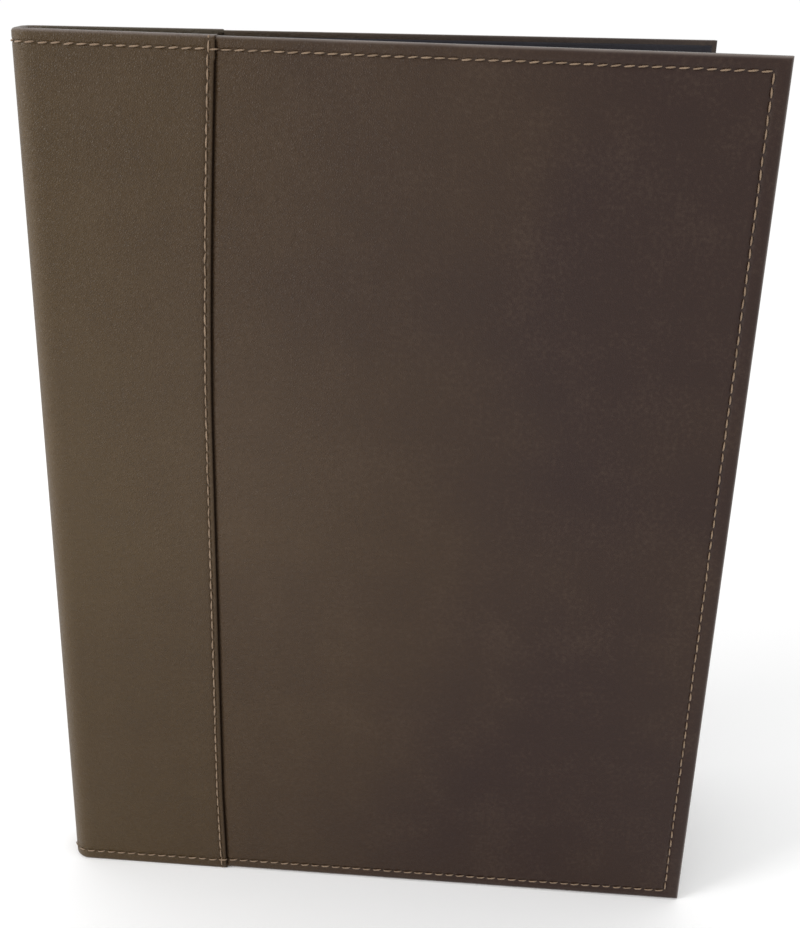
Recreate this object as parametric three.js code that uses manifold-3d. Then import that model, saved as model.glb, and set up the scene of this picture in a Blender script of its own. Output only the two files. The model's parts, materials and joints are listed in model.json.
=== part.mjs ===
// Portfolio case: a leather writing folder that stands on its lower edges, a little open like a book.
//
// Frame: +Z up, the spine towards -X, the front cover towards -Y, the opening towards +X.
// The origin is the middle of the case's box, at the level of its lower edges. Millimetres.
//
// Every cover piece is drawn on the closed case, in cover coordinates: x runs from the spine's
// outer face to the free edge, y runs from the cover's outer face inwards, and z runs up.
// The back cover is the front cover's mirror image. Each cover then turns open about its fold.

import * as THREE from 'three';
import { mergeVertices } from 'three/addons/utils/BufferGeometryUtils.js';
import Module from 'manifold-3d';

const wasm = await Module();
wasm.setup();

// The case as a whole
const HEIGHT = 317.5;
const WIDTH = 241.3;
const SPINE = 20;
const HALF_OPENING = 7.75 * Math.PI / 180;
const FIT = 0.3;                        // clearance between neighbouring pieces

// Leather
const LEATHER = 1.2;
const STRIP_PROUD = 0.6;                // the spine strip stands this far proud of the main panels
const SEAM = 61;                        // where the spine strip ends
const OVERLAP = 10;                     // how far a main panel reaches under the strip
const TURN_IN = 1.6;                    // the leather border that shows round the lining
const FOLD_RADIUS = 5.5;                // outside radius of the leather at each fold
const FOLD_SHARE = 41 * Math.PI / 180;  // how much of a fold's quarter turn each side carries
const FOLD_STEPS = 6;

// Layers of a cover, as depths below the strip's outer face
const BOARD_TOP = STRIP_PROUD + LEATHER + FIT;
const BOARD = 2;
const LINING_TOP = BOARD_TOP + BOARD + FIT;
const LINING = 0.6;
const COVER = LINING_TOP + LINING;
const BOARD_START = 7;                  // the boards stop short of the folds

// A round fold opens flat without stretching when it turns about a line this far below both faces.
const FOLD_DEPTH = FOLD_RADIUS * (1 - Math.PI / 4);

// Stitching: each row is one raised line of thread
const THREAD = 0.3;
const THREAD_WIDTH = 0.6;
const TOP_ROW = 4.4;
const BOTTOM_ROW = 4.3;
const EDGE_ROW = 5.6;
const SEAM_ROW = 2;
const THREAD_START = FOLD_RADIUS + 1;

// Inside
const POCKET = 0.8;
const POCKET_START = 16;
const POCKET_END = WIDTH - 7;
const POCKET_BOTTOM = 7;
const DOCUMENT_POCKET_TOP = [232, 206]; // its mouth slopes from the fold down to the free edge
const CARD_POCKET = { thick: 0.6, start: 118, width: 98, height: 50, bottoms: [28, 82] };
const PAD_POCKET_TOP = 150;
const PAD = { start: 19, width: 216, bottom: 9, height: 282, backing: 0.7, paper: 3.8 };
const PAD_TAPE = { thick: 0.4, drop: 18 };
const HEM_GAP = 0.9;                    // room for the pad pocket's hem stitches under the paper
const PEN_LOOP = { reach: 10, width: 9.2, height: 46, wall: 0.9, bottom: 136, corner: 3.4 };
const SPINE_BOARD = 0.8;
const SPINE_FLAT = SPINE / 2 - FOLD_RADIUS;
const SPINE_LINING_TOP = LEATHER + FIT + SPINE_BOARD + FIT;
const SPINE_DEPTH = SPINE_LINING_TOP + LINING;

const MATERIALS = {
  panel_leather: { color: 0x42342e, roughness: 0.52, metalness: 0 },
  strip_leather: { color: 0x52463a, roughness: 0.5, metalness: 0 },
  board: { color: 0x8a8478, roughness: 0.9, metalness: 0 },
  lining: { color: 0x17171c, roughness: 0.8, metalness: 0 },
  pocket: { color: 0x1c1a1c, roughness: 0.7, metalness: 0 },
  thread: { color: 0x8d6f54, roughness: 0.7, metalness: 0 },
  elastic: { color: 0x141414, roughness: 0.85, metalness: 0 },
  paper: { color: 0xf1efe6, roughness: 0.9, metalness: 0 },
  tape: { color: 0x3a2c24, roughness: 0.6, metalness: 0 },
};

// Solids

function block(low, high) {
  const size = high.map((value, axis) => value - low[axis]);
  const geometry = new THREE.BoxGeometry(...size);
  return geometry.translate(...low.map((value, axis) => value + size[axis] / 2));
}

function prism(shape, bottom, top) {
  const geometry = new THREE.ExtrudeGeometry(shape, { depth: top - bottom, bevelEnabled: false });
  return geometry.translate(0, 0, bottom);
}

function solid(geometry) {
  const bare = geometry.clone();
  bare.deleteAttribute('normal');
  bare.deleteAttribute('uv');
  const merged = mergeVertices(bare, 1e-4);
  return new wasm.Manifold(new wasm.Mesh({
    numProp: 3,
    vertProperties: new Float32Array(merged.attributes.position.array),
    triVerts: new Uint32Array(merged.index.array),
  }));
}

function geometryOf(manifold) {
  const mesh = manifold.getMesh();
  const geometry = new THREE.BufferGeometry();
  geometry.setAttribute('position', new THREE.BufferAttribute(mesh.vertProperties, 3));
  geometry.setIndex(new THREE.BufferAttribute(mesh.triVerts, 1));
  geometry.computeVertexNormals();
  return geometry;
}

function join(...geometries) {
  return geometryOf(geometries.map(solid).reduce((whole, piece) => whole.add(piece)));
}

function cut(geometry, ...tools) {
  return geometryOf(tools.map(solid).reduce((rest, tool) => rest.subtract(tool), solid(geometry)));
}

function mirrored(geometry) {
  const flipped = mergeVertices(geometry.clone().scale(1, -1, 1));
  const index = flipped.index.array;
  for (let corner = 0; corner < index.length; corner += 3) {
    [index[corner], index[corner + 1]] = [index[corner + 1], index[corner]];
  }
  flipped.computeVertexNormals();
  return flipped;
}

// Outer pieces of one cover, in cover coordinates

function foldPoint(angle, radius) {
  return new THREE.Vector2(FOLD_RADIUS - radius * Math.sin(angle), FOLD_RADIUS - radius * Math.cos(angle));
}

function foldArc(radius, from, to) {
  const steps = Array.from({ length: FOLD_STEPS + 1 }, (_, step) => from + (to - from) * step / FOLD_STEPS);
  return steps.map((angle) => foldPoint(angle, radius));
}

function coverStrip() {
  const skived = BOARD_TOP - FIT - 2 * STRIP_PROUD;
  const profile = new THREE.Shape([
    ...foldArc(FOLD_RADIUS, FOLD_SHARE, 0),
    new THREE.Vector2(SEAM, 0),
    new THREE.Vector2(SEAM, skived),
    new THREE.Vector2(SEAM - OVERLAP - FIT, skived),
    new THREE.Vector2(SEAM - OVERLAP - FIT, BOARD_TOP - FIT),
    new THREE.Vector2(FOLD_RADIUS + 1, BOARD_TOP - FIT),
    ...foldArc(FOLD_RADIUS - LEATHER, 0, FOLD_SHARE),
  ]);
  const rimEnd = SEAM - OVERLAP - FIT;
  const rim = (low, high) => block([BOARD_START, 0, low], [rimEnd, COVER, high]);
  const turnedIn = (low, high) => block([BOARD_START, LINING_TOP, low], [rimEnd, COVER, high]);
  return join(
    prism(profile, 0, HEIGHT),
    rim(0, LEATHER),
    rim(HEIGHT - LEATHER, HEIGHT),
    turnedIn(0, TURN_IN),
    turnedIn(HEIGHT - TURN_IN, HEIGHT),
  );
}

function coverPanel() {
  const start = SEAM - OVERLAP;
  const past = start - 1;
  const skived = 2 * STRIP_PROUD - FIT / 2;
  return cut(
    block([start, STRIP_PROUD, 0], [WIDTH, COVER, HEIGHT]),
    block([past, STRIP_PROUD + LEATHER, LEATHER], [WIDTH - LEATHER, LINING_TOP, HEIGHT - LEATHER]),
    block([past, LINING_TOP - 0.1, TURN_IN], [WIDTH - TURN_IN, COVER + 1, HEIGHT - TURN_IN]),
    block([past, 0, -1], [SEAM + FIT, skived, HEIGHT + 1]),
  );
}

function coverBoard() {
  const inset = LEATHER + FIT;
  return block([BOARD_START, BOARD_TOP, inset], [WIDTH - inset, BOARD_TOP + BOARD, HEIGHT - inset]);
}

function coverLining() {
  const inset = TURN_IN + FIT;
  return block([BOARD_START, LINING_TOP, inset], [WIDTH - inset, COVER, HEIGHT - inset]);
}

// A row of thread lies this far above the leather that it is sewn into.
function threadLayer(surface) {
  return [surface - FIT - THREAD, surface - FIT];
}

function edgeThread() {
  const [stripOuter, stripInner] = threadLayer(0);
  const [panelOuter, panelInner] = threadLayer(STRIP_PROUD);
  const stepAt = SEAM + FIT;
  const cornerAt = WIDTH - EDGE_ROW;
  const pieces = [[BOTTOM_ROW, BOTTOM_ROW + THREAD_WIDTH], [HEIGHT - TOP_ROW - THREAD_WIDTH, HEIGHT - TOP_ROW]]
    .flatMap(([low, high]) => [
      block([THREAD_START, stripOuter, low], [stepAt + THREAD_WIDTH, stripInner, high]),
      block([stepAt, stripOuter, low], [stepAt + THREAD_WIDTH, panelInner, high]),
      block([stepAt, panelOuter, low], [cornerAt, panelInner, high]),
    ]);
  const freeEdge = block(
    [cornerAt - THREAD_WIDTH, panelOuter, BOTTOM_ROW],
    [cornerAt, panelInner, HEIGHT - TOP_ROW],
  );
  return join(...pieces, freeEdge);
}

function seamThread() {
  const [outer, inner] = threadLayer(0);
  const low = BOTTOM_ROW + THREAD_WIDTH + FIT;
  const high = HEIGHT - TOP_ROW - THREAD_WIDTH - FIT;
  return block([SEAM - SEAM_ROW - THREAD_WIDTH, outer, low], [SEAM - SEAM_ROW, inner, high]);
}

// Inner pieces of the front cover, in cover coordinates

const FRONT_POCKET_TOP = COVER + FIT;
const CARD_POCKET_TOP = FRONT_POCKET_TOP + POCKET + FIT;

// A sheet between two heights at its fold side and two at its free side.
function upright(start, end, [lowStart, highStart], [lowEnd, highEnd], depth, thick) {
  const outline = new THREE.Shape([
    new THREE.Vector2(start, lowStart),
    new THREE.Vector2(end, lowEnd),
    new THREE.Vector2(end, highEnd),
    new THREE.Vector2(start, highStart),
  ]);
  return prism(outline, 0, thick).rotateX(Math.PI / 2).translate(0, depth + thick, 0);
}

function documentPocket() {
  const [atFold, atEdge] = DOCUMENT_POCKET_TOP;
  const heights = [[POCKET_BOTTOM, atFold], [POCKET_BOTTOM, atEdge]];
  return upright(POCKET_START, POCKET_END, ...heights, FRONT_POCKET_TOP, POCKET);
}

function documentPocketThread() {
  const [atFold, atEdge] = DOCUMENT_POCKET_TOP.map((top) => top - 4);
  const heights = [[atFold - THREAD_WIDTH, atFold], [atEdge - THREAD_WIDTH, atEdge]];
  return upright(POCKET_START + 2, POCKET_END - 2, ...heights, CARD_POCKET_TOP, THREAD);
}

function cardPocket(bottom) {
  const { thick, start, width, height } = CARD_POCKET;
  return block([start, CARD_POCKET_TOP, bottom], [start + width, CARD_POCKET_TOP + thick, bottom + height]);
}

function cardPocketThread(bottom) {
  const { thick, start, width, height } = CARD_POCKET;
  const depth = CARD_POCKET_TOP + thick + FIT;
  const row = (from, to, low, high) => block([from, depth, low], [to, depth + THREAD, high]);
  const left = start + 2;
  const right = start + width - 2;
  const low = bottom + 2;
  const high = bottom + height - 2;
  return join(
    row(left, left + THREAD_WIDTH, low, high),
    row(left, right, low, low + THREAD_WIDTH),
    row(right - THREAD_WIDTH, right, low, high),
  );
}

// Inner pieces of the back cover and the writing pad, in cover coordinates

const BACKING_TOP = COVER + FIT;
const PAD_POCKET_DEPTH = BACKING_TOP + PAD.backing + FIT;
const PAPER_TOP = PAD_POCKET_DEPTH + POCKET + HEM_GAP;
const PAD_DEPTH = PAPER_TOP + PAD.paper;
const PAD_END = PAD.start + PAD.width;
const PAD_HIGH = PAD.bottom + PAD.height;

function padPocket() {
  return block([POCKET_START, PAD_POCKET_DEPTH, POCKET_BOTTOM], [POCKET_END, PAD_POCKET_DEPTH + POCKET, PAD_POCKET_TOP]);
}

function padPocketThread() {
  const depth = PAD_POCKET_DEPTH + POCKET + FIT;
  const high = PAD_POCKET_TOP - 4;
  return block([POCKET_START + 2, depth, high - THREAD_WIDTH], [POCKET_END - 2, depth + THREAD, high]);
}

function padBacking() {
  return block([PAD.start, BACKING_TOP, PAD.bottom], [PAD_END, BACKING_TOP + PAD.backing, PAD_HIGH]);
}

function paperBlock() {
  return block([PAD.start, PAPER_TOP, PAD.bottom], [PAD_END, PAD_DEPTH - PAD_TAPE.thick - FIT, PAD_HIGH]);
}

// The tape that binds the sheets to the backing: over the top of the pad and down its face.
function padTape() {
  const over = PAD_HIGH + FIT;
  const face = PAD_DEPTH - PAD_TAPE.thick;
  return join(
    block([PAD.start, BACKING_TOP, over], [PAD_END, PAD_DEPTH, over + PAD_TAPE.thick]),
    block([PAD.start, face, PAD_HIGH - PAD_TAPE.drop], [PAD_END, PAD_DEPTH, over + PAD_TAPE.thick]),
  );
}

// Spine pieces, on the closed case: x from the spine's outer face, y across the spine

function spineLeather() {
  const half = SPINE / 2;
  const side = (points) => points.map((point) => new THREE.Vector2(point.x, point.y - half));
  const flip = (points) => points.map((point) => new THREE.Vector2(point.x, -point.y)).reverse();
  const outer = side(foldArc(FOLD_RADIUS, Math.PI / 2 - FOLD_SHARE, Math.PI / 2));
  const inner = side(foldArc(FOLD_RADIUS - LEATHER, Math.PI / 2 - FOLD_SHARE, Math.PI / 2)).reverse();
  const profile = new THREE.Shape([...outer, ...flip(outer), ...flip(inner), ...inner]);
  const rim = (low, high) => block([0, -SPINE_FLAT, low], [SPINE_DEPTH, SPINE_FLAT, high]);
  return join(prism(profile, 0, HEIGHT), rim(0, LEATHER), rim(HEIGHT - LEATHER, HEIGHT));
}

function spineLayer(depth, thick) {
  const inset = LEATHER + FIT;
  return block([depth, FIT - SPINE_FLAT, inset], [depth + thick, SPINE_FLAT - FIT, HEIGHT - inset]);
}

function spineThread(low) {
  const [outer, inner] = threadLayer(0);
  return block([outer, 1 - SPINE_FLAT, low], [inner, SPINE_FLAT - 1, low + THREAD_WIDTH]);
}

function roundedOutline(Path, x, y, width, depth, radius) {
  const path = new Path();
  path.moveTo(x + radius, y);
  path.lineTo(x + width - radius, y);
  path.absarc(x + width - radius, y + radius, radius, -Math.PI / 2, 0);
  path.lineTo(x + width, y + depth - radius);
  path.absarc(x + width - radius, y + depth - radius, radius, 0, Math.PI / 2);
  path.lineTo(x + radius, y + depth);
  path.absarc(x + radius, y + depth - radius, radius, Math.PI / 2, Math.PI);
  path.lineTo(x, y + radius);
  path.absarc(x + radius, y + radius, radius, Math.PI, Math.PI * 1.5);
  return path;
}

function penLoop() {
  const { reach, width, height, wall, bottom, corner } = PEN_LOOP;
  const start = SPINE_DEPTH + FIT;
  const shape = roundedOutline(THREE.Shape, start, -width / 2, reach, width, corner);
  shape.holes.push(roundedOutline(
    THREE.Path, start + wall, wall - width / 2, reach - 2 * wall, width - 2 * wall, corner - wall,
  ));
  const options = { depth: height, bevelEnabled: false, curveSegments: 6 };
  return new THREE.ExtrudeGeometry(shape, options).translate(0, 0, bottom);
}

// Assembly

function mesh(name, geometry, material) {
  const made = new THREE.Mesh(geometry, new THREE.MeshStandardMaterial(MATERIALS[material]));
  made.name = name;
  return made;
}

// side is 1 for the front cover and -1 for the back cover.
function cover(side, pieces) {
  const axis = [FOLD_DEPTH, side * (FOLD_DEPTH - SPINE / 2), 0];
  const hinge = new THREE.Group();
  hinge.position.set(...axis);
  hinge.rotation.z = -side * HALF_OPENING;
  const closed = new THREE.Group();
  closed.position.set(...axis.map((value) => -value));
  hinge.add(closed);
  for (const [name, geometry, material] of pieces) {
    const placed = mesh(name, side > 0 ? geometry : mirrored(geometry), material);
    placed.position.y = -side * SPINE / 2;
    closed.add(placed);
  }
  return hinge;
}

function outerPieces(name) {
  return [
    [`${name}_panel`, coverPanel(), 'panel_leather'],
    [`${name}_strip`, coverStrip(), 'strip_leather'],
    [`${name}_board`, coverBoard(), 'board'],
    [`${name}_lining`, coverLining(), 'lining'],
    [`${name}_edge_thread`, edgeThread(), 'thread'],
    [`${name}_seam_thread`, seamThread(), 'thread'],
  ];
}

const frontCover = cover(1, [
  ...outerPieces('front'),
  ['document_pocket', documentPocket(), 'pocket'],
  ['document_pocket_thread', documentPocketThread(), 'thread'],
  ...CARD_POCKET.bottoms.flatMap((bottom, index) => [
    [`card_pocket_${index + 1}`, cardPocket(bottom), 'pocket'],
    [`card_pocket_thread_${index + 1}`, cardPocketThread(bottom), 'thread'],
  ]),
]);

const backCover = cover(-1, [
  ...outerPieces('back'),
  ['pad_pocket', padPocket(), 'pocket'],
  ['pad_pocket_thread', padPocketThread(), 'thread'],
  ['pad_backing', padBacking(), 'board'],
  ['paper_block', paperBlock(), 'paper'],
  ['pad_tape', padTape(), 'tape'],
]);

const spine = new THREE.Group();
spine.add(
  mesh('spine_leather', spineLeather(), 'strip_leather'),
  mesh('spine_board', spineLayer(LEATHER + FIT, SPINE_BOARD), 'board'),
  mesh('spine_lining', spineLayer(SPINE_LINING_TOP, LINING), 'lining'),
  mesh('spine_thread_bottom', spineThread(BOTTOM_ROW), 'thread'),
  mesh('spine_thread_top', spineThread(HEIGHT - TOP_ROW - THREAD_WIDTH), 'thread'),
  mesh('pen_loop', penLoop(), 'elastic'),
);

const portfolio = new THREE.Group();
portfolio.add(frontCover, spine, backCover);
const middle = new THREE.Box3().setFromObject(portfolio, true).getCenter(new THREE.Vector3());
portfolio.position.x = -middle.x;

export default portfolio;
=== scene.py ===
import json
import math

import bpy
import numpy as np
from mathutils import Matrix, Vector, noise


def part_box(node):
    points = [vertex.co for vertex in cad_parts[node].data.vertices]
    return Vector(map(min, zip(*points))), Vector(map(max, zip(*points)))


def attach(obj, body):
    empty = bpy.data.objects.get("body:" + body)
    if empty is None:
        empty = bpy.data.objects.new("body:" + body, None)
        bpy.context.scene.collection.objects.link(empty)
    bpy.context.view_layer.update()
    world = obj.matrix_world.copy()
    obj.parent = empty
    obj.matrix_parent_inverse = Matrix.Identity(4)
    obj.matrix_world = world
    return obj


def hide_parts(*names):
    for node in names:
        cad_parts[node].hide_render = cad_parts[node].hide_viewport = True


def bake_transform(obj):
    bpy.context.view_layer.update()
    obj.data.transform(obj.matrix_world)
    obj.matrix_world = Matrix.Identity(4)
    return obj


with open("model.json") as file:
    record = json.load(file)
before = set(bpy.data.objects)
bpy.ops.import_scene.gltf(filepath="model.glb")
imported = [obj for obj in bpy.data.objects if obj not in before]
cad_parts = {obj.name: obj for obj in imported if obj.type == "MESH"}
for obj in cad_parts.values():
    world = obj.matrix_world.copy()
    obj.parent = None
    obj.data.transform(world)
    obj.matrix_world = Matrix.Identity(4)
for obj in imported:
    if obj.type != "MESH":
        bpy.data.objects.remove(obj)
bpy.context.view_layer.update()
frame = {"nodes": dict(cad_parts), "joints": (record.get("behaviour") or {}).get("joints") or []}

MM = 0.001
FRONT, BACK = 1, -1
COVER_NAME = {FRONT: "front", BACK: "back"}
COVER_BODY = {FRONT: "front_cover", BACK: "back_cover"}

# The fold lines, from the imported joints. Cover coordinates are those of the closed case: x from the
# spine's outer face to the free edge, y (depth) from the cover's outer face inwards, z up.
FOLD = next(joint for joint in frame["joints"] if joint["name"] == "front_fold")
HALF_OPENING = math.radians(-FOLD["range_deg"][0])
AXIS_X, AXIS_Y = FOLD["pos_m"][0], -FOLD["pos_m"][1]
FOLD_DEPTH = AXIS_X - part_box("spine_leather")[0].x
FOLD_RADIUS = FOLD_DEPTH / (1 - math.pi / 4)
SPINE_FLAT = AXIS_Y + FOLD_DEPTH - FOLD_RADIUS
FLAT_START = SPINE_FLAT + FOLD_RADIUS * math.pi / 2

# From x on a cover to s, the distance along the leather from the spine's middle round the fold
TO_PATH = FLAT_START - FOLD_RADIUS


def cover_matrix(side):
    """From cover coordinates to the row frame, at rest."""
    hinge = Matrix.Translation((AXIS_X, -side * AXIS_Y, 0))
    turn = Matrix.Rotation(-side * HALF_OPENING, 4, "Z")
    closed = Matrix.Diagonal((1, side, 1, 1)) @ Matrix.Translation((-FOLD_DEPTH, -FOLD_DEPTH, 0))
    return hinge @ turn @ closed


def cover_box(node, side=FRONT):
    """Lowest and highest corner of a CAD node in cover coordinates."""
    back = np.array(cover_matrix(side).inverted())
    points = np.array([v.co for v in frame["nodes"][node].data.vertices])
    placed = points @ back[:3, :3].T + back[:3, 3]
    return placed.min(0), placed.max(0)


# Sizes of the case
PANEL_LOW, PANEL_HIGH = cover_box("front_panel")
LINING_LOW, LINING_HIGH = cover_box("front_lining")
BOARD_START = cover_box("front_board")[0][0]
WIDTH, COVER, HEIGHT = PANEL_HIGH
STRIP_PROUD = PANEL_LOW[1]
SEAM = cover_box("front_strip")[1][0]
SPINE_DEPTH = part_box("spine_lining")[1].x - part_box("spine_leather")[0].x

# Leather
LINING_STEP = 0.3 * MM              # the lining stands proud of the leather border
BORDER_DEPTH = COVER - LINING_STEP
LEATHER, STRIP_LEATHER, LINING = 0.6 * MM, 0.5 * MM, 0.4 * MM
PANEL_INSET = 0.35 * MM             # the strip wraps over the panel's top and bottom rims
RIM_OUTER, RIM_INNER = 1.3 * MM, 0.8 * MM
BORDER = 7.0 * MM                   # turned-in leather, partly under the lining
SEAM_LEAN = 4.3 * MM                # the strip's edge leans out towards the top
SEAM_FLARE = 0.9 * MM               # and a little at the very bottom
LEAN_FROM, FLARE_TO = 0.6, 0.12     # shares of the height
RIPPLE_FADE = 25 * MM               # the leather lies flatter towards its rims

# Stitching
PITCH = 4.12 * MM
STITCH_LENGTH, STITCH_WIDTH, STITCH_HEIGHT = 3.4 * MM, 0.55 * MM, 0.34 * MM
STITCH_SLANT = math.radians(7)
PULLED_IN = 0.1 * MM                # inside, the stitches lie deeper in the soft lining
TOP_ROW = (3.9 * MM, 5.0 * MM)      # the top row drifts away from the edge, from spine to free edge
BOTTOM_ROW = 4.3 * MM
EDGE_ROW = 5.6 * MM
SEAM_ROW = 2.0 * MM                 # from the strip's edge, in stitches longer than the others
SEAM_STRETCH = 1.14
SEAM_END = 1.3 * MM                 # this row runs on to the rims
RIM_STITCH = 0.42                   # and ends over each in a short stitch, drawn in
RIM_SUNK = 0.2 * MM
SEAM_STITCHES = round((HEIGHT - 2 * SEAM_END) / PITCH)
SEAM_PITCH = (HEIGHT - 2 * SEAM_END) / SEAM_STITCHES
ROW_LENGTH = WIDTH - EDGE_ROW + TO_PATH
ROW_STITCHES = round(ROW_LENGTH / PITCH)
ROW_PITCH = ROW_LENGTH / ROW_STITCHES
EDGE_TOP = HEIGHT - TOP_ROW[1]
EDGE_STITCHES = round((EDGE_TOP - BOTTOM_ROW) / PITCH)
EDGE_PITCH = (EDGE_TOP - BOTTOM_ROW) / EDGE_STITCHES
FINE = 4                            # mesh steps to a stitch, along the rows
ROW_SIDES = np.array([2.6, 1.6, 1.0, 0.6, 0.3, 0.0, -0.3, -0.6, -1.0, -1.6]) * MM
MARGIN = 2.4 * MM                   # a row of points between the stitches and the rims

# Pockets and pad
POCKET_SKIN = 0.65 * MM
HEM = 8.0 * MM
POCKET_ROW = 1.9 * MM


# Shapes

def smooth(t):
    """A smooth step from 0 to 1, as t goes from 0 to 1."""
    t = np.clip(t, 0.0, 1.0)
    return t * t * (3 - 2 * t)


def triples(first, second, third):
    """Points from their three coordinates."""
    return np.stack(np.broadcast_arrays(first, second, third), axis=-1)


def from_ends(z):
    """Distance from the nearer of the top and the bottom edge."""
    return np.minimum(z, HEIGHT - z)


def ripple(x, z, seed, size, amount):
    """Slow undulation of a face: smooth noise over points, in metres."""
    places = zip(np.ravel(x) / size, np.ravel(z) / size)
    field = [noise.noise(Vector((a, b, seed))) for a, b in places]
    return amount * np.array(field).reshape(np.shape(x))


def seam_at(z):
    """Where the strip's edge is at a height: it leans above LEAN_FROM, and flares below FLARE_TO."""
    share = z / HEIGHT
    lean_out = SEAM_LEAN * np.clip((share - LEAN_FROM) / (1 - LEAN_FROM), 0, 1) ** 1.5
    return SEAM + lean_out + SEAM_FLARE * np.clip(1 - share / FLARE_TO, 0, 1)


def top_row(x):
    """Distance of the top row of stitches from the top edge."""
    return TOP_ROW[0] + (TOP_ROW[1] - TOP_ROW[0]) * np.clip(x / WIDTH, 0, 1)


def strip_path(s):
    """Outer face at a distance s from the spine's middle: x, y and the way in, in cover coordinates."""
    s = np.asarray(s, float)
    angle = np.clip((s - SPINE_FLAT) / FOLD_RADIUS, 0, math.pi / 2)
    x = FOLD_RADIUS * (1 - np.cos(angle)) + np.maximum(s - FLAT_START, 0)
    y = FOLD_RADIUS * (1 - np.sin(angle)) + np.maximum(SPINE_FLAT - s, 0)
    return x, y, np.cos(angle), np.sin(angle)


def bent(points, side):
    """From cover coordinates to the row frame at rest, for pieces that cross a fold: what lies on the
    spine stays square to it, and the rest turns with the opened cover."""
    x, y, z = np.moveaxis(np.asarray(points, float), -1, 0)
    share = smooth((x - y + FOLD_RADIUS) / (2 * FOLD_RADIUS))
    angle = -side * HALF_OPENING * share
    across, out = x - FOLD_DEPTH, side * (y - FOLD_DEPTH)
    row_x = AXIS_X + np.cos(angle) * across - np.sin(angle) * out
    row_y = -side * AXIS_Y + np.sin(angle) * across + np.cos(angle) * out
    return triples(row_x, row_y, z)


def border_depth(s):
    """Depth of the turned-in border: least at the spine, full where the cover's board starts."""
    at_spine = SPINE_DEPTH - LINING_STEP
    from_board = s - BOARD_START - TO_PATH
    return at_spine + (BORDER_DEPTH - at_spine) * smooth(from_board / (3.6 * MM) + 1)


def seam_distance(s, z):
    """Distance from the strip's edge, positive on the strip."""
    return seam_at(z) - (s - TO_PATH)


def relief(along, away):
    """How deep a row of stitches pulls the leather in. along counts stitches, away is in metres."""
    hole = 0.5 + 0.5 * np.cos(2 * np.pi * along)
    groove = (0.2 + 0.25 * hole) * MM * np.exp(-((away / (0.6 * MM)) ** 2))
    bead = 0.07 * MM * np.exp(-(((np.abs(away) - 1.6 * MM) / (0.8 * MM)) ** 2))
    return groove - bead


def rim_profile(thick):
    """Distances from the edge and depths, from the outer face over the rim to the border's end."""
    outer = np.linspace(math.radians(15), math.pi / 2, 6)
    inner = np.linspace(0, math.pi / 2, 4)
    side = thick - RIM_OUTER - RIM_INNER
    distance = [
        RIM_OUTER * (1 - np.sin(outer)),
        [0, 0],
        RIM_INNER * (1 - np.cos(inner)),
        [2 * MM, 3.5 * MM, BORDER],
    ]
    depth = [
        RIM_OUTER * (1 - np.cos(outer)),
        [RIM_OUTER + 0.35 * side, RIM_OUTER + 0.7 * side],
        thick - RIM_INNER * (1 - np.sin(inner)),
        [thick] * 3,
    ]
    return np.concatenate(distance), np.concatenate(depth)


# Meshes

def grid_faces(rows, columns, closed=False):
    """Faces of a grid of points, stored row after row. In a tube each row is a closed ring."""
    index = np.arange(rows * columns).reshape(rows, columns)
    if closed:
        index = np.concatenate([index, index[:, :1]], axis=1)
    quads = np.stack([index[:-1, :-1], index[:-1, 1:], index[1:, 1:], index[1:, :-1]], axis=-1)
    return [tuple(quad) for quad in quads.reshape(-1, 4).tolist()]


def capped_tube(rows, around):
    """Faces of a tube of rings, and of its two ends."""
    count = rows * around
    caps = [tuple(reversed(range(around))), tuple(range(count - around, count))]
    return grid_faces(rows, around, closed=True) + caps


def new_object(name, data):
    made = bpy.data.objects.new(name, data)
    bpy.context.scene.collection.objects.link(made)
    return made


def shade(mesh):
    """Smooth shading, apart from corners."""
    mesh.polygons.foreach_set("use_smooth", np.ones(len(mesh.polygons), bool))
    mesh.set_sharp_from_angle(angle=math.radians(62))
    mesh.update()


def make_object(name, points, faces, material, matrix=None, flip=False, cut=None):
    """A smooth mesh object. flip turns the faces over, for a mirrored piece. cut holds where each point
    is on the flat material, for the shaders; a negative depth in it carries painted shadow."""
    points = np.asarray(points, float).reshape(-1, 3)
    cut = points if cut is None else np.asarray(cut, float).reshape(-1, 3)
    mesh = bpy.data.meshes.new(name)
    mesh.from_pydata(points.tolist(), [], [tuple(reversed(face)) for face in faces] if flip else faces)
    mesh.attributes.new("cut", "FLOAT_VECTOR", "POINT").data.foreach_set("vector", cut.ravel())
    if matrix is not None:
        mesh.transform(matrix)
    shade(mesh)
    mesh.materials.append(material)
    return new_object(name, mesh)


def thicken(piece, thickness):
    """Gives a face its thickness, inwards."""
    solidify = piece.modifiers.new("thickness", "SOLIDIFY")
    solidify.thickness = thickness
    solidify.offset = -1
    bpy.context.view_layer.update()
    solid = piece.evaluated_get(bpy.context.evaluated_depsgraph_get())
    piece.data = bpy.data.meshes.new_from_object(solid)
    piece.modifiers.clear()
    shade(piece.data)


def cross_fold(piece, side):
    """Bakes the piece's placing into its mesh; where the fold starts and ends is worked out but not used.
    """
    start, end = bent([(0, FOLD_RADIUS, 0), (FOLD_RADIUS, 0, 0)], side).tolist()
    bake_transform(piece)


# The main leather

UNDER_STRIP = 6 * MM                # the panel runs on under the strip
PANEL_FIRST = math.ceil((SEAM + TO_PATH - UNDER_STRIP) / ROW_PITCH)
PANEL_START = PANEL_FIRST * ROW_PITCH - TO_PATH
CORNER = FINE * (ROW_STITCHES - PANEL_FIRST)  # a ring's point at the upper corner
LOWER_CORNER = CORNER + FINE * EDGE_STITCHES
MITRE = 8 * MM                      # near a corner the mesh spreads to follow the mitre
SEAM_COLUMNS = 4                    # stitches' worth of fine columns beside the strip's edge


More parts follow.
